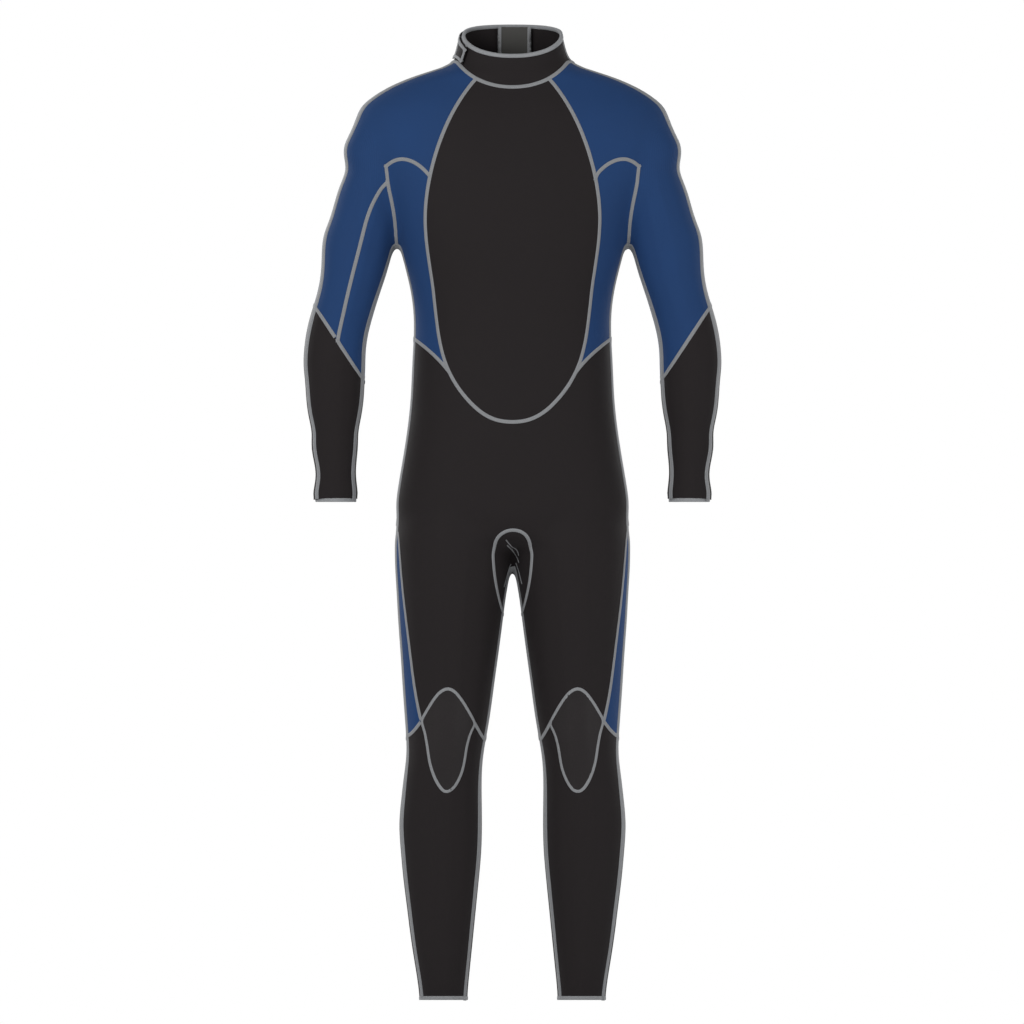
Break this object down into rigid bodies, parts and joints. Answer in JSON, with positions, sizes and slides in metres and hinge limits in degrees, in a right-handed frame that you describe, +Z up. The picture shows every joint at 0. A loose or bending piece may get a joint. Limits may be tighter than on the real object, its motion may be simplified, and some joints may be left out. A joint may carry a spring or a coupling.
{
  "type": "full wetsuit",
  "caption": "Full-length back-zip wetsuit: panelled neoprene shell with raglan sleeves, collar closure, knee pads, gusset and a zip with a long pull leash.",
  "frame": {"origin": "between the two ankle hems, level with their lower edges, on the side-seam plane", "axes": "+Z up the body, -Y out of the chest, -X towards the wearer's right hand"},
  "size_m": [0.627, 0.2273, 1.4634],
  "materials": {
    "black_neoprene": "matte",
    "blue_neoprene": "matte",
    "collar_neoprene": "matte",
    "grey_lining": "matte",
    "knee_rubber": "matte",
    "seam_grey": "matte",
    "hook_loop": "matte",
    "zip_tape": "matte",
    "zip_coil": "satin",
    "slider_metal": "satin",
    "pin_metal": "satin",
    "webbing": "matte"
  },
  "bodies": {
    "torso": {"back_panel": "black_neoprene", "chest_panel": "black_neoprene", "collar_band": "collar_neoprene", "crotch_gusset": "black_neoprene", "hip_front_panel": "black_neoprene", "left_elbow_panel": "black_neoprene", "left_knee_pad": "knee_rubber", "left_knee_surround": "black_neoprene", "left_side_panel": "blue_neoprene", "left_sleeve_back": "blue_neoprene", "left_sleeve_front": "blue_neoprene", "left_thigh_back": "black_neoprene", "left_thigh_front": "black_neoprene", "left_thigh_side": "blue_neoprene", "left_yoke_back": "blue_neoprene", "left_yoke_front": "blue_neoprene", "left_zip_coil": "zip_coil", "left_zip_tape": "zip_tape", "loop_patch": "hook_loop", "neck_binding": "seam_grey", "right_elbow_panel": "black_neoprene", "right_knee_pad": "knee_rubber", "right_knee_surround": "black_neoprene", "right_side_panel": "blue_neoprene", "right_sleeve_back": "blue_neoprene", "right_sleeve_front": "blue_neoprene", "right_thigh_back": "black_neoprene", "right_thigh_front": "black_neoprene", "right_thigh_side": "blue_neoprene", "right_underarm_panel": "blue_neoprene", "right_yoke_back": "blue_neoprene", "right_yoke_front": "blue_neoprene", "right_zip_coil": "zip_coil", "right_zip_tape": "zip_tape", "seat_panel": "black_neoprene", "tab_anchor": "collar_neoprene", "zip_bottom_stop": "slider_metal", "zip_guard_flap": "grey_lining", "zip_top_stops": "slider_metal"},
    "right_forearm": {"right_forearm_front": "black_neoprene", "right_forearm_back": "black_neoprene", "right_wrist_hem": "seam_grey"},
    "right_shank": {"right_shin_panel": "black_neoprene", "right_calf_panel": "black_neoprene", "right_ankle_hem": "seam_grey"},
    "left_forearm": {"left_forearm_front": "black_neoprene", "left_forearm_back": "black_neoprene", "left_wrist_hem": "seam_grey"},
    "left_shank": {"left_shin_panel": "black_neoprene", "left_calf_panel": "black_neoprene", "left_ankle_hem": "seam_grey"},
    "zip_slider": {"zip_slider": "slider_metal", "pull_pin": "pin_metal"},
    "pull_tab": {"pull_tab": "slider_metal"},
    "leash": {"leash_strap": "webbing", "leash_pin": "pin_metal", "leash_grip": "webbing"},
    "collar_tab": {"collar_tab": "collar_neoprene", "hook_patch": "hook_loop"}
  },
  "joints": [
    {"name": "right_elbow_bend", "type": "hinge", "parent": "torso", "child": "right_forearm", "pos_m": [-0.26, 0, 1.01], "axis": [-1, 0, 0], "range_deg": [0, 100], "stiffness_Nm_per_rad": 0.5},
    {"name": "right_knee_bend", "type": "hinge", "parent": "torso", "child": "right_shank", "pos_m": [-0.1, 0, 0.395], "axis": [1, 0, 0], "range_deg": [0, 95], "stiffness_Nm_per_rad": 0.5},
    {"name": "left_elbow_bend", "type": "hinge", "parent": "torso", "child": "left_forearm", "pos_m": [0.26, 0, 1.01], "axis": [-1, 0, 0], "range_deg": [0, 100], "stiffness_Nm_per_rad": 0.5},
    {"name": "left_knee_bend", "type": "hinge", "parent": "torso", "child": "left_shank", "pos_m": [0.1, 0, 0.395], "axis": [1, 0, 0], "range_deg": [0, 95], "stiffness_Nm_per_rad": 0.5},
    {"name": "zip_slide", "type": "slide", "parent": "torso", "child": "zip_slider", "axis": [0, 0, -1], "range_m": [0, 0.39]},
    {"name": "pull_tab_flip", "type": "hinge", "parent": "zip_slider", "child": "pull_tab", "pos_m": [0, 0.102, 1.336], "axis": [1, 0, 0], "range_deg": [0, 160]},
    {"name": "leash_swing", "type": "hinge", "parent": "pull_tab", "child": "leash", "pos_m": [0, 0.102, 1.3], "axis": [1, 0, 0], "range_deg": [0, 12]},
    {"name": "collar_tab_open", "type": "hinge", "parent": "torso", "child": "collar_tab", "pos_m": [0.0388, 0.0522, 1.44], "axis": [0, 0.2559, -0.9667], "range_deg": [0, 110]}
  ],
  "couplings": [
    {"joint": "leash_swing", "follows": "zip_slide", "rad_per_m": 0.535}
  ]
}
